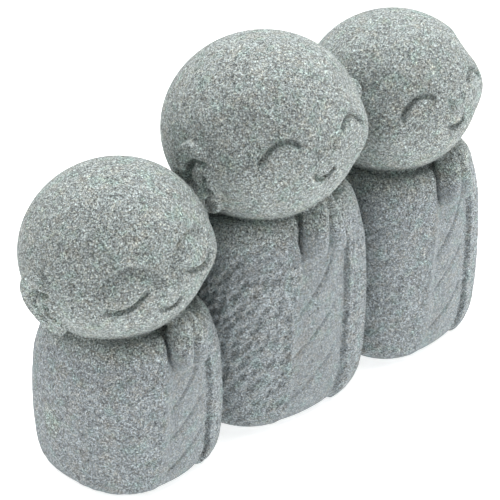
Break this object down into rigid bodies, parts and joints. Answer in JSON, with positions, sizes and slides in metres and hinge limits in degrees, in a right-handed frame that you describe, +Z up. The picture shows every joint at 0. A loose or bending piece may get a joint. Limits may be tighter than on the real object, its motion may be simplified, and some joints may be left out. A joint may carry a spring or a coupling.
{
  "type": "stone jizo group statue",
  "caption": "Row of child-monk figures in robes, hands pressed together, cast as one piece of speckled grey-green stone; stands on its flat underside.",
  "frame": {"origin": "on the ground under the middle figure, in the middle of its base", "axes": "+Z up; the figures face -Y; +X runs along the row towards the medium figure"},
  "size_m": [0.2433, 0.0874, 0.1702],
  "materials": {
    "cast_stone": "rough, speckled, blasted"
  },
  "bodies": {
    "root": {"jizo_trio": "cast_stone"}
  },
  "joints": []
}
